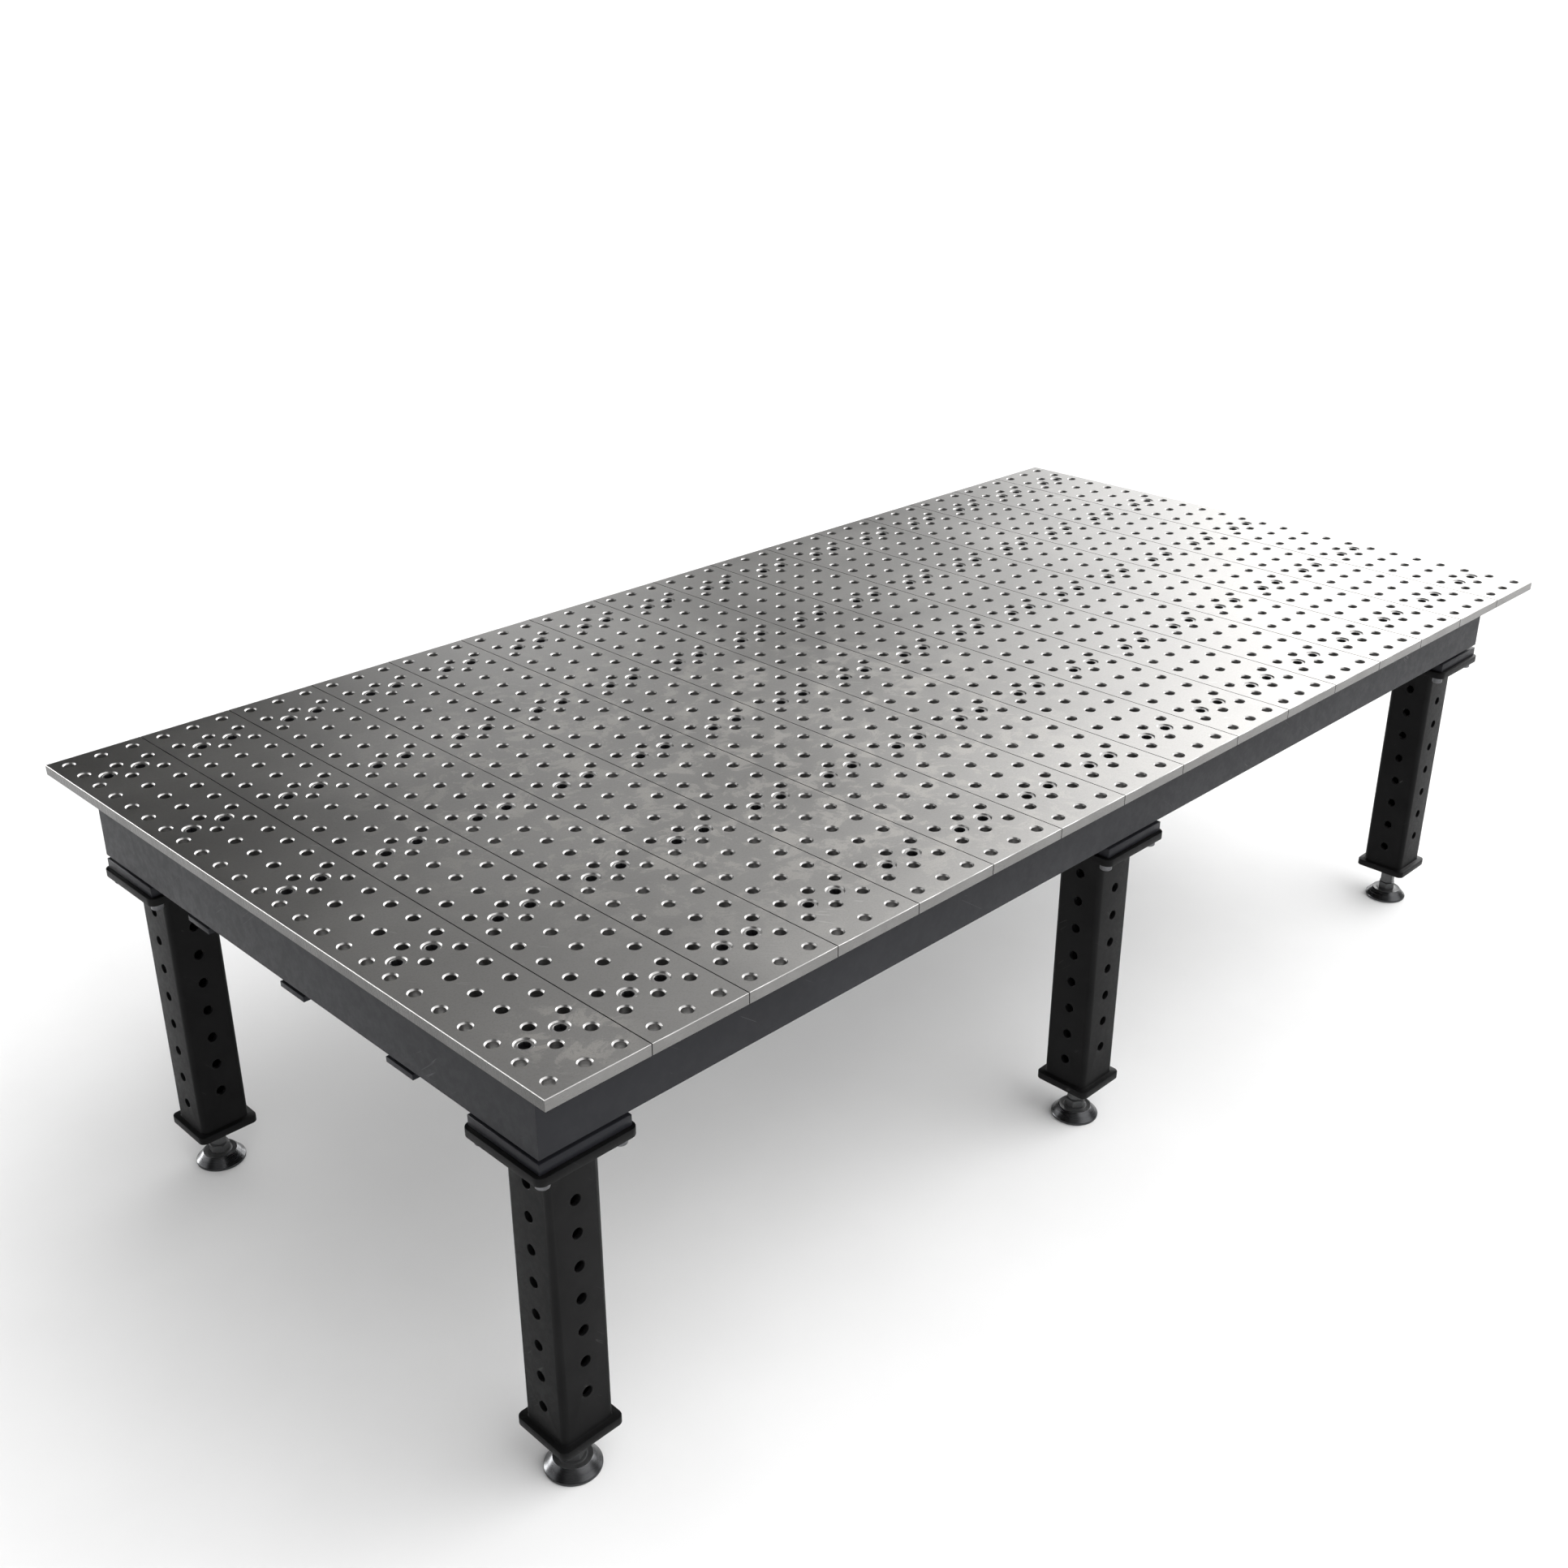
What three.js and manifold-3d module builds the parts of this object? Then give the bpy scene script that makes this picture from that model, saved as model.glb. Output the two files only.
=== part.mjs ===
// Slatted modular welding table, 8 ft x 4 ft, on six bolt-on legs with levelling feet.
// Millimetres. +X runs along the length, +Y across the width and +Z up.
// The origin is on the floor under the middle of the table.
import * as THREE from 'three';
import { mergeVertices } from 'three/addons/utils/BufferGeometryUtils.js';
import Module from 'manifold-3d';

const wasm = await Module();
wasm.setup();

// Driving dimensions ---------------------------------------------------------

const PITCH = 50.8; // spacing of the fixture holes, both ways
const LENGTH = 48 * PITCH; // along X
const WIDTH = 24 * PITCH; // along Y
const TOP = 711.2; // height of the work surface above the floor
const GAP = 0.3; // clearance left between touching pieces

const PLANKS = 16; // planks laid side by side along X, each running across Y
const PLANK_W = 3 * PITCH;
const PLANK_T = 15.875;
const PLANK_BEVEL = 0.8; // bevel round the upper edges of a plank
const SEAM = 1.4; // open seam between two planks
const HOLE_D = 15.875; // fixture holes
const HOLE_SIDES = 6;

const SKIRT_T = 6.35; // plate closing the frame all round
const SKIRT_X = LENGTH / 2 - 38.5; // outer face of the end skirts
const SKIRT_Y = WIDTH / 2 - 72.8; // outer face of the side skirts
const SKIRT_BOTTOM = TOP - 140.3;

const RAIL_W = 31.75; // box rails under the five rows of plank screws
const RAIL_WALL = 6.35;
const RAIL_ROWS = [-508, -254, 0, 254, 508];
const RIB_T = 12.7; // cross ribs half-lapped into the rails over the legs

const PLATE_TOP = TOP - 145.7; // straps and leg pads hang under the rails
const STRAP_W = 58.5;
const STRAP_T = 8;
const PAD_SIDE = 139.7;
const PAD_T = 15.875;

const LEG_X = 1111.3; // leg centres
const LEG_Y = 467.2;
const LEG_SIDE = 82.5; // square tube
const LEG_WALL = 6.35;
const LEG_R = 9; // outer corner radius
const FLANGE_SIDE = 152.4;
const FLANGE_T = 12.7;
const FLANGE_R = 12;
const FOOT_PLATE_SIDE = 101.6;
const FOOT_PLATE_T = 12.7;
const FOOT_PLATE_R = 10;
const FOOT_PLATE_BOTTOM = 75.2;
const LEG_HOLES = 8; // holes down each face, staggered half a pitch between X and Y faces
const LEG_HOLE_TOP_X = TOP - 224.9; // highest hole through the X faces
const BOLT_OFFSET = 59; // flange screws, from the leg's centre both ways
const BOLT_HEAD_D = 19.05;
const BOLT_HEAD_H = 12.7;

const STUD_D = 15.875;
const STUD_TOP = 120;
const LONG_NUT_AF = 23.8; // long hex nut under the foot plate
const LONG_NUT_TURN = 5.6; // degrees
const SCREW_HEX_AF = 29.7; // hex at the foot of the stud
const SCREW_HEX_TURN = 23.6; // degrees
const SCREW_HEX_BOTTOM = 19.5;
const SCREW_HEX_TOP = 33.5;
const PAD_BASE_R = 39.9; // round foot
const PAD_RING_R = 27.2;
const PAD_RING_Z = 19.2;
const PAD_RIM_H = 5;
const PAD_SOCKET_R = 10.4;
const PAD_SOCKET_Z = 8;
const SPIGOT_R = 9.7;
const SPIGOT_BOTTOM = 8.3;

// Materials ------------------------------------------------------------------

const steel = (name, color, roughness, metalness) =>
  new THREE.MeshStandardMaterial({ name, color, roughness, metalness });

const bareSteel = steel('bare_steel', 0x7c7a77, 0.42, 0.9);
const greyPaint = steel('grey_paint', 0x4a4a4e, 0.55, 0.1);
const blackPaint = steel('black_paint', 0x232324, 0.5, 0.1);
const nutSteel = steel('dark_steel', 0x3c3c3e, 0.35, 0.9);
const footSteel = steel('foot_steel', 0x4a4a4c, 0.28, 0.95);

// Solids ---------------------------------------------------------------------

// A closed geometry as a solid that can be joined and cut.
function solid(geometry) {
  geometry.deleteAttribute('normal');
  geometry.deleteAttribute('uv');
  const merged = mergeVertices(geometry, 1e-4);
  const mesh = new wasm.Mesh({
    numProp: 3,
    vertProperties: new Float32Array(merged.attributes.position.array),
    triVerts: new Uint32Array(merged.index.array),
  });
  return new wasm.Manifold(mesh);
}

// The vertices and triangles of a solid as a geometry.
function geometryOf(body) {
  const mesh = body.getMesh();
  const geometry = new THREE.BufferGeometry();
  geometry.setAttribute('position', new THREE.BufferAttribute(mesh.vertProperties, 3));
  geometry.setIndex(new THREE.BufferAttribute(mesh.triVerts, 1));
  geometry.computeVertexNormals();
  return geometry;
}

// A block between two corners.
function block(low, high) {
  const geometry = new THREE.BoxGeometry(high[0] - low[0], high[1] - low[1], high[2] - low[2]);
  geometry.translate((low[0] + high[0]) / 2, (low[1] + high[1]) / 2, (low[2] + high[2]) / 2);
  return solid(geometry);
}

// An upright prism with a regular base, one corner at the angle turn in degrees.
function prism(sides, radius, bottom, top, turn = 0, x = 0, y = 0) {
  const geometry = new THREE.CylinderGeometry(radius, radius, top - bottom, sides);
  geometry.rotateX(Math.PI / 2);
  geometry.rotateZ(THREE.MathUtils.degToRad(turn - 90));
  geometry.translate(x, y, (top + bottom) / 2);
  return solid(geometry);
}

// The same prism lying along X or Y through the point (x, y, z).
function crossPrism(axis, sides, radius, length, z) {
  const geometry = new THREE.CylinderGeometry(radius, radius, length, sides);
  if (axis === 'x') {
    geometry.rotateZ(Math.PI / 2);
  }
  geometry.translate(0, 0, z);
  return solid(geometry);
}

// A square with rounded corners, as a closed path.
function roundedSquare(side, radius, Kind) {
  const h = side / 2;
  const path = new Kind();
  path.moveTo(h, -h + radius);
  path.lineTo(h, h - radius);
  path.absarc(h - radius, h - radius, radius, 0, Math.PI / 2);
  path.lineTo(-h + radius, h);
  path.absarc(-h + radius, h - radius, radius, Math.PI / 2, Math.PI);
  path.lineTo(-h, -h + radius);
  path.absarc(-h + radius, -h + radius, radius, Math.PI, Math.PI * 1.5);
  path.lineTo(h - radius, -h);
  path.absarc(h - radius, -h + radius, radius, Math.PI * 1.5, Math.PI * 2);
  return path;
}

// A rounded square plate or tube standing between two heights.
function upright(shape, bottom, top, curveSegments = 3) {
  const settings = { depth: top - bottom, bevelEnabled: false, curveSegments };
  const geometry = new THREE.ExtrudeGeometry(shape, settings);
  geometry.translate(0, 0, bottom);
  return solid(geometry);
}

// The radius of a regular polygon with the area of a circle.
const equalArea = (diameter, sides) =>
  (diameter / 2) * Math.sqrt((2 * Math.PI) / (sides * Math.sin((2 * Math.PI) / sides)));

// The corner radius of a hexagon from its size across flats.
const hexRadius = (acrossFlats) => acrossFlats / 2 / Math.cos(Math.PI / 6);

const table = new THREE.Group();
table.name = 'welding_table';

function add(name, body, material, x = 0, y = 0, z = 0) {
  const mesh = new THREE.Mesh(geometryOf(body), material);
  mesh.name = name;
  mesh.position.set(x, y, z);
  table.add(mesh);
}

// Top planks -----------------------------------------------------------------

// A slab with bevelled upper edges.
function slab(x0, x1, y0, y1, z0, z1, bevel) {
  const rings = [
    [0, z0],
    [0, z1 - bevel],
    [bevel, z1],
  ];
  const points = [];
  for (const [inset, z] of rings) {
    points.push(x0 + inset, y0 + inset, z);
    points.push(x1 - inset, y0 + inset, z);
    points.push(x1 - inset, y1 - inset, z);
    points.push(x0 + inset, y1 - inset, z);
  }
  const faces = [0, 2, 1, 0, 3, 2, 8, 9, 10, 8, 10, 11];
  for (const ring of [0, 4]) {
    for (let i = 0; i < 4; i += 1) {
      const a = ring + i;
      const b = ring + ((i + 1) % 4);
      faces.push(a, b, b + 4, a, b + 4, a + 4);
    }
  }
  const geometry = new THREE.BufferGeometry();
  geometry.setAttribute('position', new THREE.Float32BufferAttribute(points, 3));
  geometry.setIndex(faces);
  return solid(geometry);
}

// Each plank carries the fixture holes of its corners and of its middle row ends.
const holeRadius = equalArea(HOLE_D, HOLE_SIDES);
const holeRows = [0.5, 11.5, 23.5].map((row) => -WIDTH / 2 + row * PITCH);

for (let i = 0; i < PLANKS; i += 1) {
  const left = -LENGTH / 2 + i * PLANK_W;
  const x0 = left + (i > 0 ? SEAM / 2 : 0);
  const x1 = left + PLANK_W - (i < PLANKS - 1 ? SEAM / 2 : 0);
  let body = slab(x0, x1, -WIDTH / 2, WIDTH / 2, TOP - PLANK_T, TOP, PLANK_BEVEL);
  for (const column of [0.5, 2.5]) {
    for (const y of holeRows) {
      const x = left + column * PITCH;
      const hole = prism(HOLE_SIDES, holeRadius, TOP - PLANK_T - 5, TOP + 5, 0, x, y);
      body = body.subtract(hole);
    }
  }
  add(`top_plank_${String(i + 1).padStart(2, '0')}`, body, bareSteel);
}

// Skirts: four plates mitred at the corners -----------------------------------

const skirtTop = TOP - PLANK_T - GAP;

// A plate on edge whose ends are cut at 45 degrees, outer face towards -Y.
function skirt(halfLength, outer, cut) {
  const shape = new THREE.Shape();
  shape.moveTo(-halfLength + cut, -outer);
  shape.lineTo(halfLength - cut, -outer);
  shape.lineTo(halfLength - SKIRT_T - cut, -outer + SKIRT_T);
  shape.lineTo(-halfLength + SKIRT_T + cut, -outer + SKIRT_T);
  shape.closePath();
  return upright(shape, SKIRT_BOTTOM, skirtTop);
}

const sideSkirt = skirt(SKIRT_X, SKIRT_Y, 0);
const endSkirt = skirt(SKIRT_Y, SKIRT_X, GAP * 1.5);
add('side_skirt_front', sideSkirt, greyPaint);
add('side_skirt_back', sideSkirt.rotate([0, 0, 180]), greyPaint);
add('end_skirt_left', endSkirt.rotate([0, 0, -90]), greyPaint);
add('end_skirt_right', endSkirt.rotate([0, 0, 90]), greyPaint);

// Rails and cross ribs, half-lapped where they cross --------------------------

const railBottom = PLATE_TOP + GAP;
const lap = (railBottom + skirtTop) / 2;
const railEnd = SKIRT_X - SKIRT_T - GAP;
const ribEnd = SKIRT_Y - SKIRT_T - GAP;
const ribRows = [-LEG_X, 0, LEG_X];

// A box rail slotted from below for the ribs. An inner rail stands on a wider strap.
function rail(onStrap) {
  const bottom = onStrap ? PLATE_TOP - STRAP_T / 2 : railBottom;
  const bore = RAIL_W / 2 - RAIL_WALL;
  let body = block([-railEnd, -RAIL_W / 2, bottom], [railEnd, RAIL_W / 2, skirtTop]);
  if (onStrap) {
    const half = STRAP_W / 2;
    body = body.add(block([-SKIRT_X, -half, PLATE_TOP - STRAP_T], [SKIRT_X, half, PLATE_TOP]));
  }
  const low = [-railEnd - 5, -bore, railBottom + RAIL_WALL];
  body = body.subtract(block(low, [railEnd + 5, bore, skirtTop - RAIL_WALL]));
  for (const x of ribRows) {
    const half = RIB_T / 2 + GAP;
    const slotBottom = onStrap ? PLATE_TOP : railBottom - 5;
    body = body.subtract(block([x - half, -RAIL_W, slotBottom], [x + half, RAIL_W, lap + GAP / 2]));
  }
  return body;
}

RAIL_ROWS.forEach((y, i) => add(`rail_${i + 1}`, rail(Math.abs(y) < 400), greyPaint, 0, y));

let rib = block([-RIB_T / 2, -ribEnd, railBottom], [RIB_T / 2, ribEnd, skirtTop]);
for (const y of RAIL_ROWS) {
  const half = RAIL_W / 2 + GAP;
  rib = rib.subtract(block([-RIB_T, y - half, lap - GAP / 2], [RIB_T, y + half, skirtTop + 5]));
}
['left', 'mid', 'right'].forEach((side, i) => add(`cross_rib_${side}`, rib, greyPaint, ribRows[i]));


// Legs, built round their own centre line --------------------------------------

const padHalf = PAD_SIDE / 2;
const legPad = block([-padHalf, -padHalf, PLATE_TOP - PAD_T], [padHalf, padHalf, PLATE_TOP]);

const flangeTop = PLATE_TOP - PAD_T - GAP;
const tubeTop = flangeTop - FLANGE_T;
const tubeBottom = FOOT_PLATE_BOTTOM + FOOT_PLATE_T;

const tubeShape = roundedSquare(LEG_SIDE, LEG_R, THREE.Shape);
tubeShape.holes.push(roundedSquare(LEG_SIDE - 2 * LEG_WALL, LEG_R - LEG_WALL, THREE.Path));

const flangeShape = roundedSquare(FLANGE_SIDE, FLANGE_R, THREE.Shape);
const footPlateShape = roundedSquare(FOOT_PLATE_SIDE, FOOT_PLATE_R, THREE.Shape);

let leg = upright(tubeShape, tubeBottom - 1, tubeTop + 1, 2);
leg = leg.add(upright(flangeShape, tubeTop, flangeTop));
leg = leg.add(upright(footPlateShape, FOOT_PLATE_BOTTOM, tubeBottom));
leg = leg.subtract(prism(16, STUD_D / 2 + 0.5, FOOT_PLATE_BOTTOM - 5, tubeBottom + 5));

// Holes right through the tube, along X and along Y by turns.
for (let i = 0; i < LEG_HOLES; i += 1) {
  const z = LEG_HOLE_TOP_X - i * PITCH;
  leg = leg.subtract(crossPrism('x', HOLE_SIDES, holeRadius, LEG_SIDE + 20, z));
  leg = leg.subtract(crossPrism('y', HOLE_SIDES, holeRadius, LEG_SIDE + 20, z + PITCH / 2));
}

// Heads of the four screws that hold the flange to its pad.
for (const sx of [-1, 1]) {
  for (const sy of [-1, 1]) {
    const x = sx * BOLT_OFFSET;
    const y = sy * BOLT_OFFSET;
    leg = leg.add(prism(10, BOLT_HEAD_D / 2, tubeTop - BOLT_HEAD_H, tubeTop + 1, 0, x, y));
  }
}

// Levelling foot: long nut, screw with its hex, and round foot pad.
const nutTop = FOOT_PLATE_BOTTOM - GAP;
const nutBottom = SCREW_HEX_TOP + GAP;
const longNut = prism(6, hexRadius(LONG_NUT_AF), nutBottom, nutTop, LONG_NUT_TURN).subtract(
  prism(16, STUD_D / 2 + 0.5, nutBottom - 5, nutTop + 5),
);

const screw = prism(6, hexRadius(SCREW_HEX_AF), SCREW_HEX_BOTTOM, SCREW_HEX_TOP, SCREW_HEX_TURN)
  .add(prism(16, STUD_D / 2, SCREW_HEX_TOP - 1, STUD_TOP))
  .add(prism(16, SPIGOT_R, SPIGOT_BOTTOM, SCREW_HEX_BOTTOM + 1));

const padProfile = [
  [0, 0],
  [PAD_BASE_R, 0],
  [PAD_BASE_R, PAD_RIM_H],
  [PAD_RING_R, PAD_RING_Z],
  [PAD_SOCKET_R, PAD_RING_Z],
  [PAD_SOCKET_R, PAD_SOCKET_Z],
  [0, PAD_SOCKET_Z],
].map(([r, z]) => new THREE.Vector2(r, z));
const footPad = solid(new THREE.LatheGeometry(padProfile, 24).rotateX(Math.PI / 2));

const places = [
  ['front_left', -LEG_X, -LEG_Y],
  ['front_mid', 0, -LEG_Y],
  ['front_right', LEG_X, -LEG_Y],
  ['back_left', -LEG_X, LEG_Y],
  ['back_mid', 0, LEG_Y],
  ['back_right', LEG_X, LEG_Y],
];
for (const [place, x, y] of places) {
  add(`leg_pad_${place}`, legPad, greyPaint, x, y);
  add(`leg_${place}`, leg, blackPaint, x, y);
  add(`long_nut_${place}`, longNut, nutSteel, x, y);
  add(`levelling_screw_${place}`, screw, nutSteel, x, y);
  add(`foot_pad_${place}`, footPad, footSteel, x, y);
}

export default table;
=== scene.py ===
"""Slatted welding table, 8 ft by 4 ft, on six bolt-on legs with levelling feet.

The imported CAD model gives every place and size. The pieces here replace its nodes with finer ones.
Sizes are millimetres and are turned to metres where a mesh is made.
"""

import math

import bmesh
import bpy
from mathutils import Matrix, Vector


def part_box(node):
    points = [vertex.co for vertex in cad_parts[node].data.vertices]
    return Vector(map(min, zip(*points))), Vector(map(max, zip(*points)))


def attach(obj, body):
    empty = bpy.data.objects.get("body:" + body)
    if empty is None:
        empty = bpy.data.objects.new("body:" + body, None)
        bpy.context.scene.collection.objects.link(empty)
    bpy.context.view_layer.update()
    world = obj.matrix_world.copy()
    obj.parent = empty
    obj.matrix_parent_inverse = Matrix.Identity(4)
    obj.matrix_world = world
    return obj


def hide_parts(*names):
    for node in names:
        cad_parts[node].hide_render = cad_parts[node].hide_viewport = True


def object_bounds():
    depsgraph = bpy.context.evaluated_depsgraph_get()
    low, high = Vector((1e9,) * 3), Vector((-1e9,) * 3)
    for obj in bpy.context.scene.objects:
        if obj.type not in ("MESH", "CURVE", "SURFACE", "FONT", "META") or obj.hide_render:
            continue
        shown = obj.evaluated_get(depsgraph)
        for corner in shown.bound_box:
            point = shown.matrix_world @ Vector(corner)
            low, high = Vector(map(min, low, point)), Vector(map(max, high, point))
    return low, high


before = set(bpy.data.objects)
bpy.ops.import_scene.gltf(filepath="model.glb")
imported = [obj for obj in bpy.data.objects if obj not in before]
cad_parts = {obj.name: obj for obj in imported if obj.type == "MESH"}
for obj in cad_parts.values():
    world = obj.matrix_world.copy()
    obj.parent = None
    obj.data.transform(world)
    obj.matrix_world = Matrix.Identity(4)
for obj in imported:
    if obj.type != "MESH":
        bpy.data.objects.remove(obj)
CAD_LOW, CAD_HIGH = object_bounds()

# ---------------------------------------------------------------- sizes, mm

MM = 0.001
PITCH = 50.8  # spacing of the fixture holes
COLUMNS, ROWS = 3, 24  # fixture holes in one plank
PLANK_WIDTH = COLUMNS * PITCH
HOLE_R = 7.94
HOLE_COUNT = 32  # points round a hole
HOLE_HALF = HOLE_COUNT // 2
HOLE_CHAMFER = 1.86
HOLE_LOWER_CHAMFER = 0.6
EDGE_BEVEL = 0.8  # round the top
SEAM_BEVEL = 0.12  # along the seams between planks
LOWER_BEVEL = 0.4  # round the underside
AT_SEAM = 0.1  # a side that is set in by more than this is beside a seam
SEAM_REACH = 0.15  # faces this near to a seam side take its nearly black painted shade
SCREW_COLUMNS = (1, 2)  # grid lines that carry plank screws
SCREW_ROWS = (2, 7, 12, 17, 22)
SINK_R = 13.5  # countersink at the surface
SINK_STEPS = 12  # faces round a quarter of a countersink
SINK_BORE_R = 8.5
SINK_FOOT_R = 8.9
HEAD_DEPTH = 1.7  # top of a plank screw below the surface
HEAD_R = 11.7
HEAD_LIP = 0.15  # height of a plank screw's rim
SHANK_R = 7.94
SHANK_END_Z = -15.4
SOCKET_R = 8.0
SOCKET_AF = 13.4
SOCKET_DEPTH = 7.0
SOCKET_LEAD = 0.8  # slope of the cone into a socket

SKIRT_BEVEL = 0.6
SKIRT_CORNER_GAP = 0.03  # keeps two mitres from sharing a face

LEG_SIDE = 82.5
LEG_WALL = 6.35
LEG_R = 9.0
LEG_HOLES = 8
LEG_FILLET = 2.0  # welds at the ends of the tube
LEG_HOLE_BEVEL = 0.45  # rounding of the paint at the outside of a hole
LEG_HOLE_BURR = 0.2  # the same inside
CORNER_STEPS = 6  # faces round a corner of the tube or its plates
FLANGE_HALF = 76.2
FLANGE_T = 12.7
FLANGE_R = 12.0
FOOT_PLATE_SIDE = 101.6
FOOT_PLATE_T = 12.7
FOOT_PLATE_R = 10.0
LEG_HOLE_TOP_X = 62.9  # highest hole through the X faces, below the flange's top
STUD_HOLE_R = 8.45
BOLT_OFFSET = 59.0
BOLT_HEAD_R = 9.525
BOLT_HEAD_H = 12.7
BOLT_SOCKET_R = 4.75

THREAD_PITCH = 25.4 / 11
THREAD_DEPTH = 1.25
THREAD_CREST, THREAD_FLANK = 0.12, 0.76  # shares of half a tooth
STUD_R = 7.9375
LONG_NUT_AF = 23.8
LONG_NUT_TURN = 5.6
SCREW_HEX_AF = 29.7
SCREW_HEX_TURN = 23.6
SCREW_HEX_Z = (19.5, 33.5)
SPIGOT_R = 9.7
SPIGOT_Z = 8.3
SPIGOT_BEVEL = 1.2
NECK = 0.8  # cone from the thread's root to the hexagon

PLACES = (
    "front_left",
    "front_mid",
    "front_right",
    "back_left",
    "back_mid",
    "back_right",
)

# ---------------------------------------------------------------- mesh tools


class Shape:
    """Points, faces and a material number for each face, in millimetres."""

    def __init__(self):
        self.points, self.faces, self.marks = [], [], []

    def ring(self, points):
        """Adds points and gives their numbers."""
        start = len(self.points)
        self.points.extend(points)
        return list(range(start, start + len(points)))

    def face(self, ids, mark=0):
        self.faces.append(tuple(ids))
        self.marks.append(mark)

    def strip(self, a, b, mark=0):
        """A band of four-sided faces between two rings."""
        count = len(a)
        for k in range(count):
            m = (k + 1) % count
            self.face((a[k], a[m], b[m], b[k]), mark)

    def stack(self, rings, marks=None, cap_first=None, cap_last=None):
        """Strips from each ring of points to the next, with closed ends where a mark is given."""
        ids = [self.ring(r) for r in rings]
        for k in range(len(ids) - 1):
            self.strip(ids[k], ids[k + 1], marks[k] if marks else 0)
        if cap_first is not None:
            self.face(ids[0], cap_first)
        if cap_last is not None:
            self.face(ids[-1], cap_last)
        return ids

    def mesh(self, name, angle=32.0):
        """The mesh in metres, closed up. Edges above the angle and between materials are hard."""
        bm = bmesh.new()
        verts = [bm.verts.new(Vector(p) * MM) for p in self.points]
        for ids, mark in zip(self.faces, self.marks):
            try:
                made = bm.faces.new([verts[i] for i in ids])
            except ValueError:
                continue
            made.material_index = mark
            made.smooth = True
        bmesh.ops.remove_doubles(bm, verts=bm.verts, dist=2e-6)
        bmesh.ops.dissolve_degenerate(bm, edges=bm.edges, dist=1e-7)
        bmesh.ops.recalc_face_normals(bm, faces=bm.faces)
        for edge in bm.edges:
            looks = {f.material_index for f in edge.link_faces}
            edge.smooth = edge.calc_face_angle(0.0) <= math.radians(angle) and len(looks) == 1
        data = bpy.data.meshes.new(name)
        bm.to_mesh(data)
        bm.free()
        return data


def circle(radius, z, x=0.0, y=0.0, count=32):
    step = 2 * math.pi / count
    return [
        (x + radius * math.cos(k * step), y + radius * math.sin(k * step), z)
        for k in range(count)
    ]


def hex_radius(across, angle, turn):
    """Distance from the middle to a hexagon's side in that direction, in radians."""
    sector = math.pi / 3
    a = (angle - turn) % sector - sector / 2
    return across / 2 / math.cos(a)


def rounded_square(side, radius, z):
    """Corner points of a square with rounded corners, anticlockwise from the +X side."""
    half = side / 2 - radius
    points = []
    for quarter in range(4):
        a0 = quarter * math.pi / 2
        cx = half * (1 if quarter in (0, 3) else -1)
        cy = half * (1 if quarter in (0, 1) else -1)
        for k in range(CORNER_STEPS + 1):
            a = a0 + k * math.pi / 2 / CORNER_STEPS
            points.append((cx + radius * math.cos(a), cy + radius * math.sin(a), z))
    return points


def spun(points, turn):
    """The points turned about the upright axis."""
    c, s = math.cos(turn), math.sin(turn)
    return [(x * c - y * s, x * s + y * c, z) for x, y, z in points]


def place(name, mesh, materials, body, nodes=(), at=(0.0, 0.0, 0.0)):
    """One piece: its materials, the body it rides on and the CAD nodes it stands for."""
    obj = bpy.data.objects.new(name, mesh)
    bpy.context.scene.collection.objects.link(obj)
    obj.location = at
    for m in materials:
        mesh.materials.append(m)
    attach(obj, body)
    if nodes:
        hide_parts(*nodes)
    return obj


# ---------------------------------------------------------------- material tools


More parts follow.
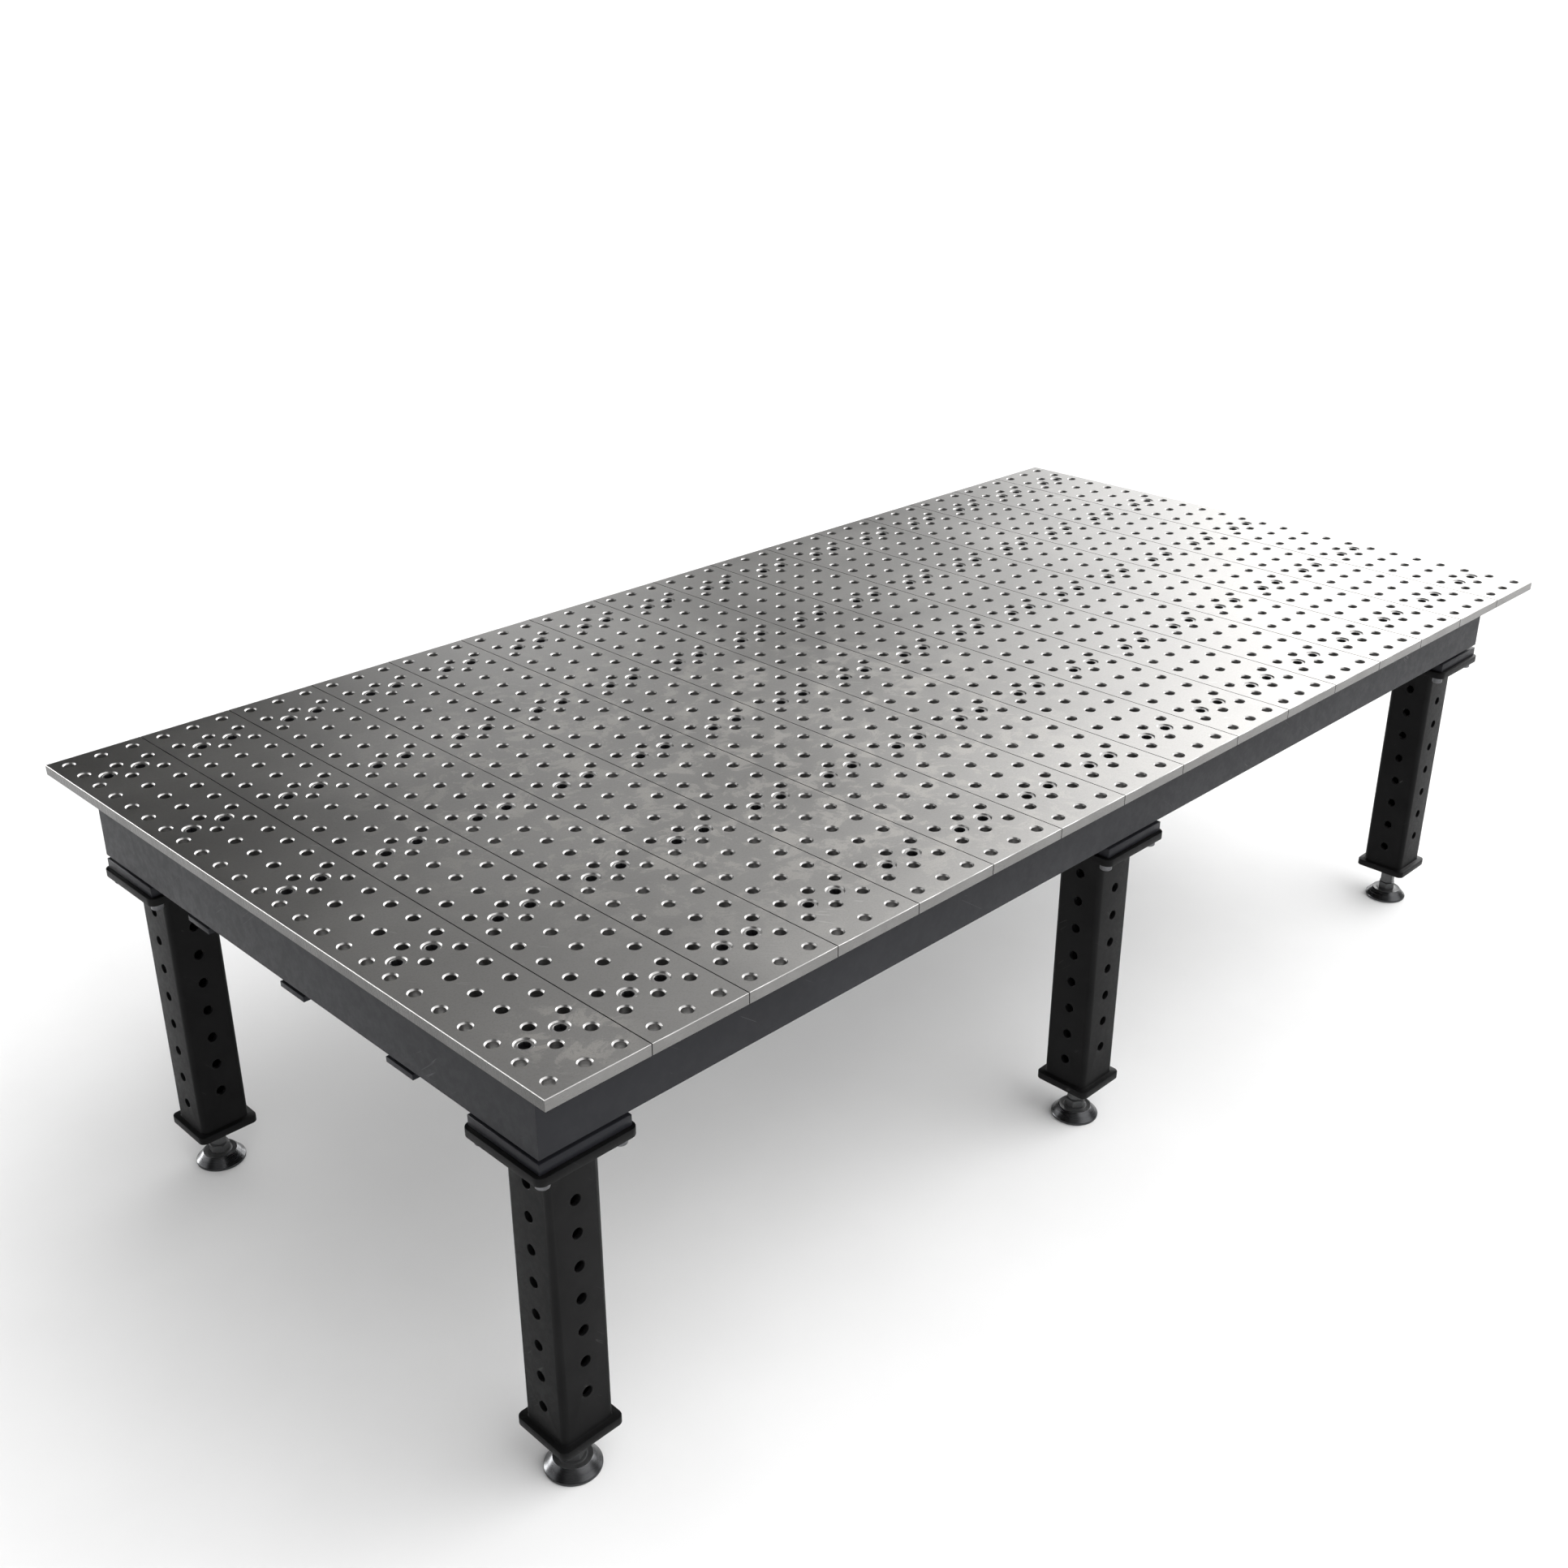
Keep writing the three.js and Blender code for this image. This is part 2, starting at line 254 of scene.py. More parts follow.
class Nodes:
    """Short calls for building one material's node tree."""

    def __init__(self, name):
        self.material = bpy.data.materials.new(name)
        self.material.use_nodes = True
        self.tree = self.material.node_tree
        self.tree.nodes.clear()
        self.out = self.tree.nodes.new("ShaderNodeOutputMaterial")
        self.shader = self.tree.nodes.new("ShaderNodeBsdfPrincipled")
        self.link(self.shader.outputs[0], self.out.inputs["Surface"])
        coordinates = self.tree.nodes.new("ShaderNodeTexCoord")
        self.where = coordinates.outputs["Object"]

    def link(self, a, b):
        self.tree.links.new(a, b)

    def feed(self, node, socket, value):
        if isinstance(value, bpy.types.NodeSocket):
            self.link(value, node.inputs[socket])
        else:
            node.inputs[socket].default_value = value

    def math(self, operation, a, b=0.0):
        node = self.tree.nodes.new("ShaderNodeMath")
        node.operation = operation
        self.feed(node, 0, a)
        self.feed(node, 1, b)
        return node.outputs[0]

    def vector(self, operation, where, other=(0.0, 0.0, 0.0), output="Vector"):
        node = self.tree.nodes.new("ShaderNodeVectorMath")
        node.operation = operation
        self.link(where, node.inputs[0])
        node.inputs[1].default_value = other
        return node.outputs[output]

    def scaled(self, factors, where=None):
        """Coordinates drawn out to other proportions."""
        return self.vector("MULTIPLY", where or self.where, factors)

    def round_axis(self):
        """Distance from the object's upright axis, and height."""
        split = self.tree.nodes.new("ShaderNodeSeparateXYZ")
        self.link(self.where, split.inputs[0])
        x, y, z = split.outputs
        squares = self.math("ADD", self.math("MULTIPLY", x, x), self.math("MULTIPLY", y, y))
        return self.math("SQRT", squares), z

    def noise(self, scale, detail=3.0, rough=0.55, where=None, distortion=0.0):
        node = self.tree.nodes.new("ShaderNodeTexNoise")
        self.link(where or self.where, node.inputs["Vector"])
        node.inputs["Scale"].default_value = scale
        node.inputs["Detail"].default_value = detail
        node.inputs["Roughness"].default_value = rough
        node.inputs["Distortion"].default_value = distortion
        return node.outputs[0]

    def spread(self, value, low, high, to_low=0.0, to_high=1.0):
        """The value from low to high, eased, as a value from to_low to to_high."""
        node = self.tree.nodes.new("ShaderNodeMapRange")
        node.interpolation_type = "SMOOTHSTEP"
        self.feed(node, "Value", value)
        node.inputs["From Min"].default_value = low
        node.inputs["From Max"].default_value = high
        self.feed(node, "To Min", to_low)
        self.feed(node, "To Max", to_high)
        return node.outputs[0]

    def mix(self, factor, a, b):
        node = self.tree.nodes.new("ShaderNodeMix")
        node.data_type = "RGBA"
        self.feed(node, 0, factor)
        for socket, value in ((6, a), (7, b)):
            if isinstance(value, bpy.types.NodeSocket):
                self.link(value, node.inputs[socket])
            else:
                node.inputs[socket].default_value = (*value, 1.0)
        return node.outputs[2]

    def bump(self, height, distance, strength=1.0, under=None):
        node = self.tree.nodes.new("ShaderNodeBump")
        node.inputs["Strength"].default_value = strength
        node.inputs["Distance"].default_value = distance
        self.link(height, node.inputs["Height"])
        if under is not None:
            self.link(under, node.inputs["Normal"])
        return node.outputs[0]

    def finish(self, color, roughness, metallic, normal=None, **constants):
        self.feed(self.shader, "Base Color", color)
        self.feed(self.shader, "Roughness", roughness)
        self.shader.inputs["Metallic"].default_value = metallic
        if normal is not None:
            self.link(normal, self.shader.inputs["Normal"])
        for name, value in constants.items():
            self.shader.inputs[name].default_value = value
        return self.material


# ---------------------------------------------------------------- materials


def scratches(n, scale, across, along, threshold, cover=0.6):
    """Sparse fine straight lines that run the second way, as levels of a stretched noise."""
    joined = n.tree.nodes.new("ShaderNodeCombineXYZ")
    for socket, way, stretch in ((0, across, 1.0), (1, along, 0.03)):
        way = [w * stretch for w in way]
        n.link(n.vector("DOT_PRODUCT", n.where, way, "Value"), joined.inputs[socket])
    lines = n.noise(scale, 1.0, 0.4, joined.outputs[0])
    near = n.math("ABSOLUTE", n.math("SUBTRACT", lines, 0.5))
    line = n.spread(near, 0.0, threshold, 1.0, 0.0)
    patch = n.spread(n.noise(scale * 0.35, 1.0, 0.5), cover, cover + 0.06)
    return n.math("MULTIPLY", line, patch)


# Middle and half width of the areas of the top that show the most wear, in metres.
WORN_SPOTS = (
    ((-0.45, -0.08, 0.7), (0.55, 0.52)),
    ((-1.12, -0.53, 0.7), (0.07, 0.08)),
)


def worn_area(n):
    """Strongest where people weld: left of the middle, and one spot by the near left corner."""
    area = None
    for centre, size in WORN_SPOTS:
        offset = n.vector("SUBTRACT", n.where, centre)
        offset = n.scaled((1 / size[0], 1 / size[1], 0.0), offset)
        spot = n.spread(n.vector("LENGTH", offset, output="Value"), 0.55, 1.35, 1.0, 0.0)
        area = spot if area is None else n.math("MAXIMUM", area, spot)
    return area


def milled_steel():
    """Bare plate: fine grain, soft clouds, lighter worn patches and faint rubbed marks."""
    n = Nodes("milled_steel")
    clouds = n.noise(2.6, 4.0, 0.55, distortion=0.3)
    patches = n.noise(22.0, 14.0, 0.76, distortion=0.5)
    grain = n.noise(850.0, 2.0, 0.6)
    speck = n.noise(420.0, 3.0, 0.6)
    worn = n.math("MULTIPLY", n.spread(patches, 0.52, 0.55), worn_area(n))
    tone = n.mix(n.spread(clouds, 0.3, 0.7), (0.255, 0.250, 0.243), (0.300, 0.294, 0.285))
    tone = n.mix(n.math("MULTIPLY", worn, 0.52), tone, (0.42, 0.404, 0.380))
    tone = n.mix(n.spread(speck, 0.45, 0.72, 0.0, 0.22), tone, (0.15, 0.148, 0.144))
    rub = scratches(n, 60.0, (0.8, 0.6, 0.0), (-0.6, 0.8, 0.0), 0.008, 0.62)
    tone = n.mix(n.math("MULTIPLY", rub, 0.25), tone, (0.55, 0.54, 0.53))
    rough = n.spread(grain, 0.3, 0.7, 0.34, 0.41)
    rough = n.math("ADD", rough, n.math("MULTIPLY", worn, 0.06))
    rough = n.math("ADD", rough, n.spread(clouds, 0.35, 0.65, -0.02, 0.02))
    normal = n.bump(grain, 0.00002, 0.5, n.bump(speck, 0.00004, 0.3))
    return n.finish(tone, rough, 1.0, normal)


def machined_steel():
    """Bevels, chamfers and countersinks, with fine tool marks."""
    n = Nodes("machined_steel")
    rings = n.noise(1600.0, 2.0, 0.5, n.scaled((0.12, 0.12, 1.0)))
    tone = n.mix(n.spread(rings, 0.3, 0.7), (0.34, 0.336, 0.33), (0.44, 0.434, 0.426))
    rough = n.spread(n.noise(420.0, 3.0), 0.3, 0.7, 0.27, 0.36)
    return n.finish(tone, rough, 1.0, n.bump(rings, 0.00002, 0.3))


def side_steel_shaded():
    """Outer sides of the first and last plank, which face ±X: a darker copy of the plank steel,
    painted shade, with fine upright marks.
    """
    n = Nodes("side_steel_shaded")
    marks = n.noise(700.0, 3.0, 0.6, n.scaled((1.0, 1.0, 0.06)))
    clouds = n.noise(12.0, 5.0, 0.6)
    tone = n.mix(n.spread(clouds, 0.3, 0.7), (0.105, 0.1035, 0.101), (0.145, 0.143, 0.140))
    tone = n.mix(n.spread(marks, 0.45, 0.75, 0.0, 0.06), tone, (0.21, 0.207, 0.202))
    rough = n.spread(marks, 0.3, 0.7, 0.25, 0.28)
    return n.finish(tone, rough, 1.0, n.bump(marks, 0.00001, 0.08))


def end_steel_lit():
    """Ends of the planks, which face ±Y: a lighter copy of the plank steel than the long sides,
    painted light.
    """
    n = Nodes("end_steel_lit")
    marks = n.noise(500.0, 3.0, 0.6, n.scaled((0.1, 1.0, 1.0)))
    clouds = n.noise(12.0, 5.0, 0.6)
    tone = n.mix(n.spread(clouds, 0.3, 0.7), (0.205, 0.202, 0.197), (0.245, 0.242, 0.236))
    rough = n.spread(marks, 0.3, 0.7, 0.27, 0.30)
    return n.finish(tone, rough, 1.0, n.bump(marks, 0.00001, 0.05))


def seam_painted_shade():
    """Side faces and bevels between the planks, nearly black: painted shade of the narrow gaps, on
    steel that is as bare as the rest of the plank.
    """
    n = Nodes("seam_painted_shade")
    grain = n.noise(300.0, 4.0, 0.6)
    tone = n.mix(n.spread(grain, 0.3, 0.7), (0.010, 0.0098, 0.0096), (0.022, 0.0215, 0.021))
    rough = n.spread(grain, 0.3, 0.7, 0.60, 0.75)
    return n.finish(tone, rough, 0.0, n.bump(grain, 0.00005, 0.4), **{"Specular IOR Level": 0.1})


def bored_steel():
    """Walls of the drilled holes: satin, with faint drill rings."""
    n = Nodes("bored_steel")
    rings = n.noise(1200.0, 2.0, 0.5, n.scaled((0.1, 0.1, 1.0)))
    tone = n.mix(n.spread(rings, 0.3, 0.7), (0.19, 0.187, 0.182), (0.25, 0.246, 0.24))
    rough = n.spread(n.noise(300.0, 3.0), 0.3, 0.7, 0.46, 0.56)
    return n.finish(tone, rough, 1.0, n.bump(rings, 0.00002, 0.3))


def screw_steel():
    """Plank screws: bare heads worn by the work that slides over them."""
    n = Nodes("screw_steel")
    grain = n.noise(700.0, 3.0, 0.6)
    tone = n.mix(n.spread(grain, 0.3, 0.7), (0.22, 0.217, 0.213), (0.33, 0.325, 0.318))
    rough = n.spread(n.noise(160.0, 3.0), 0.3, 0.7, 0.32, 0.44)
    return n.finish(tone, rough, 1.0, n.bump(grain, 0.00003, 0.4))


def socket_painted_shade():
    """Nearly black inside the screws' sockets, far darker than their heads: painted shade of the
    deep recess.
    """
    n = Nodes("socket_painted_shade")
    grain = n.noise(500.0, 3.0)
    tone = n.mix(n.spread(grain, 0.3, 0.7), (0.004, 0.004, 0.0045), (0.010, 0.010, 0.011))
    rough = n.spread(grain, 0.3, 0.7, 0.5, 0.62)
    return n.finish(tone, rough, 0.0, **{"Specular IOR Level": 0.2})


def grey_paint():
    """Satin grey powder coat with a faint orange peel, dust and short scratches."""
    n = Nodes("grey_paint")
    clouds = n.noise(6.0, 4.0, 0.55)
    peel = n.noise(420.0, 2.0, 0.5)
    dust = n.noise(70.0, 5.0, 0.7)
    tone = n.mix(n.spread(clouds, 0.3, 0.7), (0.0085, 0.0088, 0.0114), (0.0110, 0.0114, 0.0144))
    tone = n.mix(n.spread(dust, 0.5, 0.8, 0.0, 0.15), tone, (0.024, 0.024, 0.028))
    marks = scratches(n, 55.0, (0.6, 0.6, 0.8), (-0.8, -0.8, 0.6), 0.008, 0.64)
    tone = n.mix(n.math("MULTIPLY", marks, 0.3), tone, (0.16, 0.16, 0.165))
    rough = n.spread(dust, 0.3, 0.7, 0.40, 0.50)
    normal = n.bump(peel, 0.00004, 0.4, n.bump(clouds, 0.0003, 0.08))
    return n.finish(tone, rough, 0.0, normal, **{"Specular IOR Level": 0.18})


def black_paint():
    """Near-black satin coat on the legs, with light rub marks."""
    n = Nodes("black_paint")
    clouds = n.noise(14.0, 5.0, 0.6)
    peel = n.noise(520.0, 2.0, 0.5)
    dust = n.noise(110.0, 5.0, 0.7)
    tone = n.mix(n.spread(clouds, 0.3, 0.7), (0.0030, 0.0030, 0.0032), (0.0052, 0.0052, 0.0054))
    tone = n.mix(n.spread(dust, 0.5, 0.8, 0.0, 0.2), tone, (0.013, 0.013, 0.0132))
    marks = scratches(n, 80.0, (0.7, 0.7, 0.7), (-0.7, -0.7, 0.7), 0.010, 0.65)
    tone = n.mix(n.math("MULTIPLY", marks, 0.25), tone, (0.12, 0.12, 0.118))
    rough = n.spread(dust, 0.3, 0.7, 0.38, 0.48)
    normal = n.bump(peel, 0.00004, 0.5, n.bump(clouds, 0.0002, 0.2))
    return n.finish(tone, rough, 0.0, normal, **{"Specular IOR Level": 0.10})


def oxide_steel():
    """Dark phosphated nuts, studs and foot recesses, a little brighter where spanners rub."""
    n = Nodes("oxide_steel")
    clouds = n.noise(45.0, 4.0, 0.6)
    grain = n.noise(900.0, 3.0, 0.6)
    tone = n.mix(n.spread(clouds, 0.3, 0.7), (0.045, 0.046, 0.047), (0.065, 0.066, 0.067))
    tone = n.mix(n.spread(grain, 0.5, 0.75, 0.0, 0.3), tone, (0.11, 0.11, 0.11))
    rough = n.spread(clouds, 0.3, 0.7, 0.36, 0.46)
    return n.finish(tone, rough, 0.35, n.bump(grain, 0.00003, 0.5))


def zinc_steel():
    """Flange screws: dull plated heads."""
    n = Nodes("zinc_steel")
    clouds = n.noise(90.0, 4.0, 0.6)
    grain = n.noise(800.0, 3.0, 0.6)
    tone = n.mix(n.spread(clouds, 0.3, 0.7), (0.115, 0.117, 0.122), (0.175, 0.177, 0.184))
    rough = n.spread(grain, 0.3, 0.7, 0.34, 0.46)
    return n.finish(tone, rough, 1.0, n.bump(grain, 0.00003, 0.4))


def turned_steel():
    """Glossy turned foot: fine lathe marks round the axis."""
    n = Nodes("turned_steel")
    radius, height = n.round_axis()
    along = n.math("ADD", radius, n.math("MULTIPLY", height, 0.7))
    marks = n.tree.nodes.new("ShaderNodeTexNoise")
    marks.noise_dimensions = "1D"
    n.link(along, marks.inputs["W"])
    marks.inputs["Scale"].default_value = 1500.0
    marks.inputs["Detail"].default_value = 3.0
    clouds = n.noise(40.0, 3.0, 0.5)
    tone = n.mix(n.spread(clouds, 0.3, 0.7), (0.068, 0.069, 0.072), (0.085, 0.086, 0.089))
    rough = n.spread(marks.outputs[0], 0.3, 0.7, 0.25, 0.28)
    return n.finish(tone, rough, 1.0, n.bump(marks.outputs[0], 0.00001, 0.08))


MILLED = milled_steel()
MACHINED = machined_steel()
SIDE_SHADED = side_steel_shaded()
BORED = bored_steel()
SEAM_SHADE = seam_painted_shade()
END_LIT = end_steel_lit()
SCREW = screw_steel()
SOCKET_SHADE = socket_painted_shade()
GREY = grey_paint()
BLACK = black_paint()
OXIDE = oxide_steel()
ZINC = zinc_steel()
TURNED = turned_steel()

# Material numbers in a plank's mesh, and the materials they stand for.
ON_FACE, ON_BEVEL, ON_SIDE, IN_HOLE, IN_SEAM, AT_END = range(6)
# IN_SEAM carries painted shade; ON_SIDE and AT_END are darker and lighter copies of one steel,
# painted shade and light.
PLANK_LOOKS = (MILLED, MACHINED, SIDE_SHADED, BORED, SEAM_SHADE, END_LIT)

# ---------------------------------------------------------------- planks


def hole_ring(x, y, radius):
    """Angles run clockwise from the top, which is how a cell's right half meets its hole."""
    step = 2 * math.pi / HOLE_COUNT
    return [
        (x + radius * math.sin(k * step), y + radius * math.cos(k * step))
        for k in range(HOLE_COUNT)
    ]


def cell_half(box, centre, radius, sunk, sink_r, side):
    """Half of a square cell round a hole, as a C-shaped outline. side is 1 right, -1 left."""
    x_edge = box[2] if side > 0 else box[0]
    y0, y1 = box[1], box[3]
    outline = [(centre[0], y0)]
    for corner_y, rising in ((y0, False), (y1, True)):
        if (side, rising) in sunk:
            for k in range(SINK_STEPS + 1):
                a = k * math.pi / 2 / SINK_STEPS
                if rising:
                    a = math.pi / 2 - a
                dx = sink_r * math.cos(a)
                dy = sink_r * math.sin(a) * (-1 if rising else 1)
                outline.append((x_edge - side * dx, corner_y + dy))
        else:
            outline.append((x_edge, corner_y))
    outline.append((centre[0], y1))
    ring = hole_ring(centre[0], centre[1], radius)
    if side > 0:
        outline.extend(ring[: HOLE_HALF + 1])
    else:
        outline.extend([ring[0]] + ring[: HOLE_HALF - 1 : -1])
    return outline


def plank_face(shape, edges, z, hole_r, sink_r):
    """The top or bottom of a plank: every cell with its hole and the quarter rings of screws."""
    x0, x1, y0, y1 = edges
    for i in range(COLUMNS):
        for j in range(ROWS):
            left = x0 if i == 0 else i * PITCH
            right = x1 if i == COLUMNS - 1 else (i + 1) * PITCH
            low = y0 if j == 0 else j * PITCH
            high = y1 if j == ROWS - 1 else (j + 1) * PITCH
            sunk = set()
            for side, column in ((-1, i), (1, i + 1)):
                for up, row in ((False, j), (True, j + 1)):
                    if column in SCREW_COLUMNS and row in SCREW_ROWS:
                        sunk.add((side, up))
            centre = ((i + 0.5) * PITCH, (j + 0.5) * PITCH)
            for side in (1, -1):
                cell = (left, low, right, high)
                outline = cell_half(cell, centre, hole_r, sunk, sink_r, side)
                shape.face(shape.ring([(x, y, z) for x, y in outline]), ON_FACE)


def plank_outline(edges, z):
    """The points round a plank that its cells share."""
    x0, x1, y0, y1 = edges
    bottom = [(x0, y0)]
    for i in range(COLUMNS):
        bottom.append(((i + 0.5) * PITCH, y0))
        if i < COLUMNS - 1:
            bottom.append(((i + 1) * PITCH, y0))
    right = [(x1, y0)] + [(x1, j * PITCH) for j in range(1, ROWS)]
    top = [(x, y1) for x, _ in reversed(bottom[1:])]
    left = [(x0, y1)] + [(x0, j * PITCH) for j in range(ROWS - 1, 0, -1)]
    points = bottom + right + [(x1, y1)] + top + left
    return [(x, y, z) for x, y in points]


def plank_mesh(x0, x1, thickness):
    """A drilled plank in its own corner frame, top at z 0. x0 and x1 are its side faces."""
    shape = Shape()
    t, b, lower = thickness, EDGE_BEVEL, LOWER_BEVEL
    edges = (x0, x1, 0.0, ROWS * PITCH)
    left = b if x0 < AT_SEAM else SEAM_BEVEL
    right = b if x1 > PLANK_WIDTH - AT_SEAM else SEAM_BEVEL
    inner = (x0 + left, x1 - right, b, ROWS * PITCH - b)
    inner_low = (x0 + lower, x1 - lower, lower, ROWS * PITCH - lower)
    plank_face(shape, inner, 0.0, HOLE_R + HOLE_CHAMFER, SINK_R)
    plank_face(shape, inner_low, -t, HOLE_R + HOLE_LOWER_CHAMFER, SINK_FOOT_R)
    below = plank_outline(edges, 0.0)
    drops = [
        SEAM_BEVEL if (x == x0 and left < b) or (x == x1 and right < b) else b
        for x, _, _ in below
    ]
    rings = [
        plank_outline(inner, 0.0),
        [(x, y, -drop) for (x, y, _), drop in zip(below, drops)],
        plank_outline(edges, -t + lower),
        plank_outline(inner_low, -t),
    ]
    shape.stack(rings, marks=(ON_BEVEL, ON_SIDE, ON_SIDE))
    for i in range(COLUMNS):
        for j in range(ROWS):
            x, y = (i + 0.5) * PITCH, (j + 0.5) * PITCH
            profile = (
                (HOLE_R + HOLE_CHAMFER, 0.0),
                (HOLE_R, -HOLE_CHAMFER),
                (HOLE_R, -t + HOLE_LOWER_CHAMFER),
                (HOLE_R + HOLE_LOWER_CHAMFER, -t),
            )
            shape.stack(
                [[(px, py, z) for px, py in hole_ring(x, y, r)] for r, z in profile],
                marks=(ON_BEVEL, IN_HOLE, IN_HOLE),
            )
    for i in SCREW_COLUMNS:
        for j in SCREW_ROWS:
            profile = (
                (SINK_R, 0.0),
                (SINK_BORE_R, SINK_BORE_R - SINK_R),
                (SINK_BORE_R, -t + SINK_FOOT_R - SINK_BORE_R),
                (SINK_FOOT_R, -t),
            )
            rings = [circle(r, z, i * PITCH, j * PITCH, 48) for r, z in profile]
            shape.stack(rings, marks=(ON_BEVEL, IN_HOLE, IN_HOLE))
    mesh = shape.mesh("plank")
    for face in mesh.polygons:
        # Faces toward ±Y take the lighter copy of the steel and faces toward ±X the darker one:
        # painted light and shade.
        if face.material_index == ON_SIDE and abs(face.normal.y) > 0.5:
            face.material_index = AT_END
        # Sides and bevels beside a seam take the nearly black look: painted shade of the gap.
        edge = face.material_index in (ON_BEVEL, ON_SIDE) and abs(face.normal.x) > 0.5
        for side, bevel in ((x0, left), (x1, right)):
            if bevel < b and edge and abs(face.center.x - side * MM) < SEAM_REACH * MM:
                face.material_index = IN_SEAM
    return mesh


def plank_screws_mesh(first_turn):
    """The ten screws of a plank, with hexagon sockets turned as they happened to stop."""
    shape = Shape()
    count = 48
    top = -HEAD_DEPTH
    for k, (i, j) in enumerate((i, j) for i in SCREW_COLUMNS for j in SCREW_ROWS):
        turn = math.radians(first_turn + 37.0 * k + 11.0 * (k * k % 7))
        cx, cy = i * PITCH, j * PITCH
        angles = [turn + 2 * math.pi * m / count for m in range(count)]
        hexagon = [hex_radius(SOCKET_AF, a, turn) for a in angles]

        def ring(radii, heights):
            return [
                (cx + r * math.cos(a), cy + r * math.sin(a), z)
                for r, a, z in zip(radii, angles, heights)
            ]

        def level(radius, z):
            return ring([radius] * count, [z] * count)

        rings = [
            level(SHANK_R, SHANK_END_Z),
            level(SHANK_R, top - (HEAD_R - SHANK_R) - HEAD_LIP),
            level(HEAD_R - 0.05, top - HEAD_LIP),
            level(HEAD_R - 0.25, top),
            level(SOCKET_R + 0.35, top),
            level(SOCKET_R, top - 0.25),
            ring(hexagon, [top - (SOCKET_R - r) * SOCKET_LEAD for r in hexagon]),
            ring(hexagon, [top - SOCKET_DEPTH] * count),
        ]
        shape.stack(rings, marks=(0, 0, 0, 0, 0, 1, 1), cap_first=0, cap_last=1)
    return shape.mesh("plank_screws")


def build_top():
    """Every plank with its screws. Planks of the same outline share one pattern."""
    planks = sorted(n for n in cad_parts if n.startswith("top_plank_"))
    patterns = {}
    for index, node in enumerate(planks):
        low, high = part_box(node)
        left = CAD_LOW.x / MM + index * PLANK_WIDTH
        x0, x1 = low.x / MM - left, high.x / MM - left
        key = (round(x0, 2), round(x1, 2))
        if key not in patterns:
            patterns[key] = plank_mesh(*key, (high.z - low.z) / MM)
        corner = Matrix.Translation((left * MM, low.y, high.z))
        mesh = patterns[key].copy()
        mesh.transform(corner)
        place(f"drilled_{node}", mesh, PLANK_LOOKS, "table", [node])
        screws = plank_screws_mesh(index * 23.0)
        screws.transform(corner)
        name = f"plank_screws_{index + 1:02d}"
        place(name, screws, (SCREW, SOCKET_SHADE), "table")


# ---------------------------------------------------------------- frame under the top


def softened(node, width):
    """The CAD node's own shape with its edges rounded."""
    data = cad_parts[node].data.copy()
    data.materials.clear()
    bm = bmesh.new()
    bm.from_mesh(data)
    bmesh.ops.remove_doubles(bm, verts=bm.verts, dist=1e-6)
    bmesh.ops.dissolve_limit(
        bm, angle_limit=math.radians(1.0), verts=bm.verts, edges=bm.edges
    )
    edges = [e for e in bm.edges if e.calc_face_angle(0.0) > math.radians(30)]
    bmesh.ops.bevel(
        bm,
        geom=edges,
        offset=width * MM,
        segments=2,
        profile=0.5,
        affect="EDGES",
        clamp_overlap=True,
    )
    for f in bm.faces:
        f.smooth = True
    bm.to_mesh(data)
    bm.free()
    for a in [a.name for a in data.attributes if a.name.startswith("custom")]:
        data.attributes.remove(data.attributes[a])
    data.set_sharp_from_angle(angle=math.radians(50))
    return data


def skirt_mesh(low, high, corners):
    """A skirt plate with mitred ends. low and high are its box, corners the frame's outer corner.

    Its long edges are softened and its mitres meet the next plate's as one sharp corner.
    """
    along_x = high.x - low.x > high.y - low.y
    half = (corners.x if along_x else corners.y) / MM
    if along_x:
        outer, inner = sorted((low.y / MM, high.y / MM), key=abs, reverse=True)
    else:
        outer, inner = sorted((low.x / MM, high.x / MM), key=abs, reverse=True)
    sign = 1 if outer > 0 else -1
    outer, inner = abs(outer), abs(inner)
    z0, z1 = low.z / MM, high.z / MM
    soft = SKIRT_BEVEL
    section = []
    for cx, cz, quarter in (
        (outer - soft, z1 - soft, 0),
        (inner + soft, z1 - soft, 1),
        (inner + soft, z0 + soft, 2),
        (outer - soft, z0 + soft, 3),
    ):
        for k in range(4):
            a = (quarter + k / 3) * math.pi / 2
            section.append((cx + soft * math.cos(a), cz + soft * math.sin(a)))
    shape = Shape()
    rings = []
    for end in (-1, 1):
        ring = []
        for across, z in section:
            x = end * (half - (outer - across) - SKIRT_CORNER_GAP)
            ring.append((x, sign * across, z) if along_x else (sign * across, x, z))
        rings.append(ring)
    shape.stack(rings, cap_first=0, cap_last=0)
    return shape.mesh("skirt", 40)


def build_frame():
    """Skirts, rails, ribs and leg pads, all in the same grey coat."""
    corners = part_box("side_skirt_front")[1].copy()
    corners.y = abs(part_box("side_skirt_front")[0].y)
    for node in sorted(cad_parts):
        if node.startswith(("side_skirt", "end_skirt")):
            mesh = skirt_mesh(*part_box(node), corners)
        elif node.startswith(("leg_pad", "rail_", "cross_rib")):
            mesh = softened(node, 0.9 if node.startswith("leg_pad") else 0.6)
        else:
            continue
        place(f"coated_{node}", mesh, (GREY,), "table", [node])


# ---------------------------------------------------------------- legs


